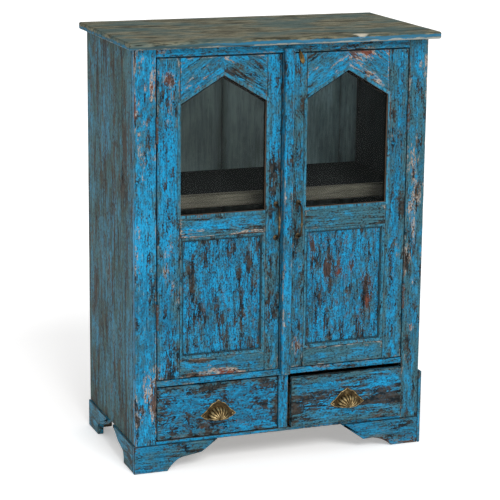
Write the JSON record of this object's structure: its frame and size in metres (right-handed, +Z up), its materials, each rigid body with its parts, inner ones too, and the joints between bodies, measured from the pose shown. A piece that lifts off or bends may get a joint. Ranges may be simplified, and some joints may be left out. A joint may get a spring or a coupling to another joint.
{
  "type": "china cabinet",
  "caption": "Free-standing painted wooden china cabinet: glazed doors with pointed arches above, panelled below, drawers under them, bracket feet.",
  "frame": {"origin": "centre of the bounding box on the floor, under the feet", "axes": "+Z up, the front with its doors and drawers faces -Y, +X to the right seen from the front"},
  "size_m": [0.904, 0.504, 1.2],
  "materials": {
    "blue_paint": "worn sky-blue paint over grimy brown wood",
    "worn_top": "waxed grey-olive wood with traces of blue",
    "bare_wood": "aged bare wood, grey-brown",
    "drawer_wood": "unpainted dry wood",
    "glass": "clear window glass, 3 mm",
    "brass": "antique cast brass",
    "iron": "iron with old paint and rust"
  },
  "bodies": {
    "case": {"back_panel_left": "bare_wood", "back_panel_right": "bare_wood", "bottom_board": "blue_paint", "bracket_front_left": "blue_paint", "bracket_front_right": "blue_paint", "bracket_side_left_front": "blue_paint", "bracket_side_left_rear": "blue_paint", "bracket_side_right_front": "blue_paint", "bracket_side_right_rear": "blue_paint", "cabinet_floor": "bare_wood", "center_mullion": "blue_paint", "display_shelf": "bare_wood", "drawer_partition": "bare_wood", "drawer_post": "blue_paint", "front_stile_left": "blue_paint", "front_stile_right": "blue_paint", "left_hinge_lower_case_leaf": "iron", "left_hinge_upper_case_leaf": "iron", "mid_rail": "blue_paint", "right_hinge_lower_case_leaf": "iron", "right_hinge_upper_case_leaf": "iron", "side_panel_left": "blue_paint", "side_panel_right": "blue_paint", "top_board_front": "worn_top", "top_board_rear": "worn_top", "top_rail": "blue_paint"},
    "left_door": {"left_door_arched_rail": "blue_paint", "left_door_bottom_rail": "blue_paint", "left_door_glass": "glass", "left_door_hinge_stile": "blue_paint", "left_door_lock_rail": "blue_paint", "left_door_meeting_stile": "blue_paint", "left_door_panel": "blue_paint", "left_door_pull": "brass", "left_hinge_lower_door_leaf": "iron", "left_hinge_upper_door_leaf": "iron"},
    "right_door": {"right_door_arched_rail": "blue_paint", "right_door_bottom_rail": "blue_paint", "right_door_glass": "glass", "right_door_hinge_stile": "blue_paint", "right_door_lock_rail": "blue_paint", "right_door_meeting_stile": "blue_paint", "right_door_panel": "blue_paint", "right_door_pull": "brass", "right_hinge_lower_door_leaf": "iron", "right_hinge_upper_door_leaf": "iron"},
    "turn_button": {"turn_button": "brass"},
    "left_drawer": {"left_cup_pull": "brass", "left_drawer_back": "drawer_wood", "left_drawer_floor": "drawer_wood", "left_drawer_front": "blue_paint", "left_drawer_left_side": "drawer_wood", "left_drawer_right_side": "drawer_wood"},
    "right_drawer": {"right_cup_pull": "brass", "right_drawer_back": "drawer_wood", "right_drawer_floor": "drawer_wood", "right_drawer_front": "blue_paint", "right_drawer_left_side": "drawer_wood", "right_drawer_right_side": "drawer_wood"}
  },
  "joints": [
    {"name": "left_door_hinge", "type": "hinge", "parent": "case", "child": "left_door", "pos_m": [-0.3685, -0.217, 0.703], "axis": [0, 0, -1], "range_deg": [0, 120]},
    {"name": "right_door_hinge", "type": "hinge", "parent": "case", "child": "right_door", "pos_m": [0.3665, -0.217, 0.703], "axis": [0, 0, 1], "range_deg": [0, 120]},
    {"name": "turn_button_pivot", "type": "hinge", "parent": "right_door", "child": "turn_button", "pos_m": [0.045, -0.215, 1.138], "axis": [0, 1, 0], "range_deg": [-8, 107]},
    {"name": "left_drawer_slide", "type": "slide", "parent": "case", "child": "left_drawer", "axis": [0, -1, 0], "range_m": [0, 0.3]},
    {"name": "right_drawer_slide", "type": "slide", "parent": "case", "child": "right_drawer", "axis": [0, -1, 0], "range_m": [-0.013, 0.29]}
  ]
}
